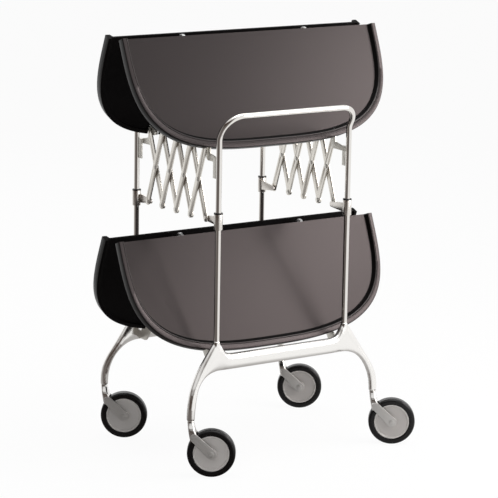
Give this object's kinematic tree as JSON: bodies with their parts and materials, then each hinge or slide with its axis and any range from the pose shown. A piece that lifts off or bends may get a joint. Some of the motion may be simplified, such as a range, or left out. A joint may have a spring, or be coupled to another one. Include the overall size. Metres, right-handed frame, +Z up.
{
  "type": "folding serving trolley",
  "caption": "Folding serving trolley with two split oval trays on arched castings, bent tube frames, side lattices and swivel casters.",
  "frame": {"origin": "middle of the folded trolley's footprint, on the floor", "axes": "+X to the right along the handle bars, +Y to the rear frame, +Z up"},
  "size_m": [0.647, 0.4224, 0.8894],
  "materials": {
    "tube": "polished",
    "casting": "polished casting",
    "bracket": "satin",
    "tray": "satin",
    "strap": "satin",
    "lattice": "satin nickel",
    "collar": "polished",
    "ring": "matte",
    "fork": "satin casting",
    "axle": "polished",
    "wheel_disc": "satin",
    "tyre": "smooth"
  },
  "bodies": {
    "rear_frame": {"rear_bow": "tube", "rear_casting": "casting", "rear_upper_brackets": "bracket", "rear_lower_brackets": "bracket"},
    "front_frame": {"front_bow": "tube", "front_casting": "casting", "front_upper_brackets": "bracket", "front_lower_brackets": "bracket"},
    "upper_rear_half": {"upper_rear_tray": "tray", "upper_rear_straps": "strap"},
    "upper_front_half": {"upper_front_tray": "tray", "upper_front_straps": "strap"},
    "lower_rear_half": {"lower_rear_tray": "tray", "lower_rear_straps": "strap"},
    "lower_front_half": {"lower_front_tray": "tray", "lower_front_straps": "strap"},
    "left_fall_a": {"left_fall_bar_a": "lattice"},
    "left_rise_a": {"left_rise_bar_a": "lattice"},
    "left_fall_b": {"left_fall_bar_b": "lattice"},
    "left_rise_b": {"left_rise_bar_b": "lattice"},
    "left_fall_c": {"left_fall_bar_c": "lattice"},
    "left_rise_c": {"left_rise_bar_c": "lattice"},
    "left_fall_d": {"left_fall_bar_d": "lattice"},
    "left_rise_d": {"left_rise_bar_d": "lattice"},
    "rear_left_slide": {"rear_left_collar": "collar", "rear_left_ring": "ring"},
    "front_left_slide": {"front_left_collar": "collar", "front_left_ring": "ring"},
    "right_fall_a": {"right_fall_bar_a": "lattice"},
    "right_rise_a": {"right_rise_bar_a": "lattice"},
    "right_fall_b": {"right_fall_bar_b": "lattice"},
    "right_rise_b": {"right_rise_bar_b": "lattice"},
    "right_fall_c": {"right_fall_bar_c": "lattice"},
    "right_rise_c": {"right_rise_bar_c": "lattice"},
    "right_fall_d": {"right_fall_bar_d": "lattice"},
    "right_rise_d": {"right_rise_bar_d": "lattice"},
    "rear_right_slide": {"rear_right_collar": "collar", "rear_right_ring": "ring"},
    "front_right_slide": {"front_right_collar": "collar", "front_right_ring": "ring"},
    "rear_left_caster": {"rear_left_fork": "fork", "rear_left_axle": "axle"},
    "rear_left_wheel": {"rear_left_disc": "wheel_disc", "rear_left_tyre": "tyre"},
    "rear_right_caster": {"rear_right_fork": "fork", "rear_right_axle": "axle"},
    "rear_right_wheel": {"rear_right_disc": "wheel_disc", "rear_right_tyre": "tyre"},
    "front_left_caster": {"front_left_fork": "fork", "front_left_axle": "axle"},
    "front_left_wheel": {"front_left_disc": "wheel_disc", "front_left_tyre": "tyre"},
    "front_right_caster": {"front_right_fork": "fork", "front_right_axle": "axle"},
    "front_right_wheel": {"front_right_disc": "wheel_disc", "front_right_tyre": "tyre"}
  },
  "joints": [
    {"name": "fold", "type": "hinge", "parent": "rear_frame", "child": "upper_rear_half", "pos_m": [0, 0.119, 0.66935], "axis": [1, 0, 0], "range_deg": [0, 67.5]},
    {"name": "upper_middle_hinge", "type": "hinge", "parent": "upper_rear_half", "child": "upper_front_half", "pos_m": [0, 0.02066, 0.8754], "axis": [1, 0, 0], "range_deg": [-135.02, 0]},
    {"name": "upper_front_pivot", "type": "hinge", "parent": "upper_front_half", "child": "front_frame", "pos_m": [0, -0.07767, 0.66935], "axis": [1, 0, 0], "range_deg": [0, 67.52]},
    {"name": "lower_rear_pivot", "type": "hinge", "parent": "rear_frame", "child": "lower_rear_half", "pos_m": [0, 0.119, 0.2536], "axis": [1, 0, 0], "range_deg": [0, 67.52]},
    {"name": "lower_middle_hinge", "type": "hinge", "parent": "lower_rear_half", "child": "lower_front_half", "pos_m": [0, 0.02066, 0.45965], "axis": [1, 0, 0], "range_deg": [-135.02, 0]},
    {"name": "left_rear_top_pivot", "type": "hinge", "parent": "rear_frame", "child": "left_fall_a", "pos_m": [-0.163, 0.1295, 0.674], "axis": [1, 0, 0], "range_deg": [-27.54, 0]},
    {"name": "left_cross_a", "type": "hinge", "parent": "left_fall_a", "child": "left_rise_a", "pos_m": [-0.163, 0.10229, 0.59718], "axis": [1, 0, 0], "range_deg": [0, 55.05]},
    {"name": "left_low_rivet_a", "type": "hinge", "parent": "left_fall_a", "child": "left_rise_b", "pos_m": [-0.163, 0.07508, 0.52035], "axis": [1, 0, 0], "range_deg": [0, 55.05]},
    {"name": "left_cross_b", "type": "hinge", "parent": "left_rise_b", "child": "left_fall_b", "pos_m": [-0.163, 0.04787, 0.59718], "axis": [1, 0, 0], "range_deg": [-55.05, 0]},
    {"name": "left_rear_collar_pivot", "type": "hinge", "parent": "left_rise_a", "child": "rear_left_slide", "pos_m": [-0.163, 0.1295, 0.52035], "axis": [1, 0, 0], "range_deg": [-27.54, 0]},
    {"name": "left_front_top_pivot", "type": "hinge", "parent": "front_frame", "child": "left_rise_d", "pos_m": [-0.163, -0.08817, 0.674], "axis": [1, 0, 0], "range_deg": [0, 27.54]},
    {"name": "left_cross_d", "type": "hinge", "parent": "left_rise_d", "child": "left_fall_d", "pos_m": [-0.163, -0.06096, 0.59718], "axis": [1, 0, 0], "range_deg": [-55.05, 0]},
    {"name": "left_low_rivet_c", "type": "hinge", "parent": "left_rise_d", "child": "left_fall_c", "pos_m": [-0.163, -0.03376, 0.52035], "axis": [1, 0, 0], "range_deg": [-55.05, 0]},
    {"name": "left_cross_c", "type": "hinge", "parent": "left_fall_c", "child": "left_rise_c", "pos_m": [-0.163, -0.00655, 0.59718], "axis": [1, 0, 0], "range_deg": [0, 55.05]},
    {"name": "left_front_collar_pivot", "type": "hinge", "parent": "left_fall_d", "child": "front_left_slide", "pos_m": [-0.163, -0.08817, 0.52035], "axis": [1, 0, 0], "range_deg": [0, 27.54]},
    {"name": "right_rear_top_pivot", "type": "hinge", "parent": "rear_frame", "child": "right_fall_a", "pos_m": [0.163, 0.1295, 0.674], "axis": [1, 0, 0], "range_deg": [-27.54, 0]},
    {"name": "right_cross_a", "type": "hinge", "parent": "right_fall_a", "child": "right_rise_a", "pos_m": [0.163, 0.10229, 0.59718], "axis": [1, 0, 0], "range_deg": [0, 55.05]},
    {"name": "right_low_rivet_a", "type": "hinge", "parent": "right_fall_a", "child": "right_rise_b", "pos_m": [0.163, 0.07508, 0.52035], "axis": [1, 0, 0], "range_deg": [0, 55.05]},
    {"name": "right_cross_b", "type": "hinge", "parent": "right_rise_b", "child": "right_fall_b", "pos_m": [0.163, 0.04787, 0.59718], "axis": [1, 0, 0], "range_deg": [-55.05, 0]},
    {"name": "right_rear_collar_pivot", "type": "hinge", "parent": "right_rise_a", "child": "rear_right_slide", "pos_m": [0.163, 0.1295, 0.52035], "axis": [1, 0, 0], "range_deg": [-27.54, 0]},
    {"name": "right_front_top_pivot", "type": "hinge", "parent": "front_frame", "child": "right_rise_d", "pos_m": [0.163, -0.08817, 0.674], "axis": [1, 0, 0], "range_deg": [0, 27.54]},
    {"name": "right_cross_d", "type": "hinge", "parent": "right_rise_d", "child": "right_fall_d", "pos_m": [0.163, -0.06096, 0.59718], "axis": [1, 0, 0], "range_deg": [-55.05, 0]},
    {"name": "right_low_rivet_c", "type": "hinge", "parent": "right_rise_d", "child": "right_fall_c", "pos_m": [0.163, -0.03376, 0.52035], "axis": [1, 0, 0], "range_deg": [-55.05, 0]},
    {"name": "right_cross_c", "type": "hinge", "parent": "right_fall_c", "child": "right_rise_c", "pos_m": [0.163, -0.00655, 0.59718], "axis": [1, 0, 0], "range_deg": [0, 55.05]},
    {"name": "right_front_collar_pivot", "type": "hinge", "parent": "right_fall_d", "child": "front_right_slide", "pos_m": [0.163, -0.08817, 0.52035], "axis": [1, 0, 0], "range_deg": [0, 27.54]},
    {"name": "rear_left_swivel", "type": "hinge", "parent": "rear_frame", "child": "rear_left_caster", "pos_m": [-0.233, 0.19066, 0.117], "axis": [0, 0, 1], "continuous": true},
    {"name": "rear_left_roll", "type": "hinge", "parent": "rear_left_caster", "child": "rear_left_wheel", "pos_m": [-0.19801, 0.16567, 0.05], "axis": [0.5813, 0.8137, 0], "continuous": true},
    {"name": "rear_right_swivel", "type": "hinge", "parent": "rear_frame", "child": "rear_right_caster", "pos_m": [0.233, 0.19066, 0.117], "axis": [0, 0, 1], "continuous": true},
    {"name": "rear_right_roll", "type": "hinge", "parent": "rear_right_caster", "child": "rear_right_wheel", "pos_m": [0.26799, 0.16567, 0.05], "axis": [0.5813, 0.8137, 0], "continuous": true},
    {"name": "front_left_swivel", "type": "hinge", "parent": "front_frame", "child": "front_left_caster", "pos_m": [-0.233, -0.14934, 0.117], "axis": [0, 0, 1], "continuous": true},
    {"name": "front_left_roll", "type": "hinge", "parent": "front_left_caster", "child": "front_left_wheel", "pos_m": [-0.19801, -0.17433, 0.05], "axis": [0.5813, 0.8137, 0], "continuous": true},
    {"name": "front_right_swivel", "type": "hinge", "parent": "front_frame", "child": "front_right_caster", "pos_m": [0.233, -0.14934, 0.117], "axis": [0, 0, 1], "continuous": true},
    {"name": "front_right_roll", "type": "hinge", "parent": "front_right_caster", "child": "front_right_wheel", "pos_m": [0.26799, -0.17433, 0.05], "axis": [0.5813, 0.8137, 0], "continuous": true}
  ],
  "couplings": [
    {"joint": "upper_middle_hinge", "follows": "fold", "ratio": -2},
    {"joint": "upper_front_pivot", "follows": "fold", "ratio": 1},
    {"joint": "lower_rear_pivot", "follows": "fold", "ratio": 1},
    {"joint": "lower_middle_hinge", "follows": "fold", "ratio": -2},
    {"joint": "left_rear_top_pivot", "follows": "fold", "ratio": -0.40766},
    {"joint": "left_cross_a", "follows": "fold", "ratio": 0.81532},
    {"joint": "left_low_rivet_a", "follows": "fold", "ratio": 0.81532},
    {"joint": "left_cross_b", "follows": "fold", "ratio": -0.81532},
    {"joint": "left_rear_collar_pivot", "follows": "fold", "ratio": -0.40766},
    {"joint": "left_front_top_pivot", "follows": "fold", "ratio": 0.40766},
    {"joint": "left_cross_d", "follows": "fold", "ratio": -0.81532},
    {"joint": "left_low_rivet_c", "follows": "fold", "ratio": -0.81532},
    {"joint": "left_cross_c", "follows": "fold", "ratio": 0.81532},
    {"joint": "left_front_collar_pivot", "follows": "fold", "ratio": 0.40766},
    {"joint": "right_rear_top_pivot", "follows": "fold", "ratio": -0.40766},
    {"joint": "right_cross_a", "follows": "fold", "ratio": 0.81532},
    {"joint": "right_low_rivet_a", "follows": "fold", "ratio": 0.81532},
    {"joint": "right_cross_b", "follows": "fold", "ratio": -0.81532},
    {"joint": "right_rear_collar_pivot", "follows": "fold", "ratio": -0.40766},
    {"joint": "right_front_top_pivot", "follows": "fold", "ratio": 0.40766},
    {"joint": "right_cross_d", "follows": "fold", "ratio": -0.81532},
    {"joint": "right_low_rivet_c", "follows": "fold", "ratio": -0.81532},
    {"joint": "right_cross_c", "follows": "fold", "ratio": 0.81532},
    {"joint": "right_front_collar_pivot", "follows": "fold", "ratio": 0.40766}
  ]
}
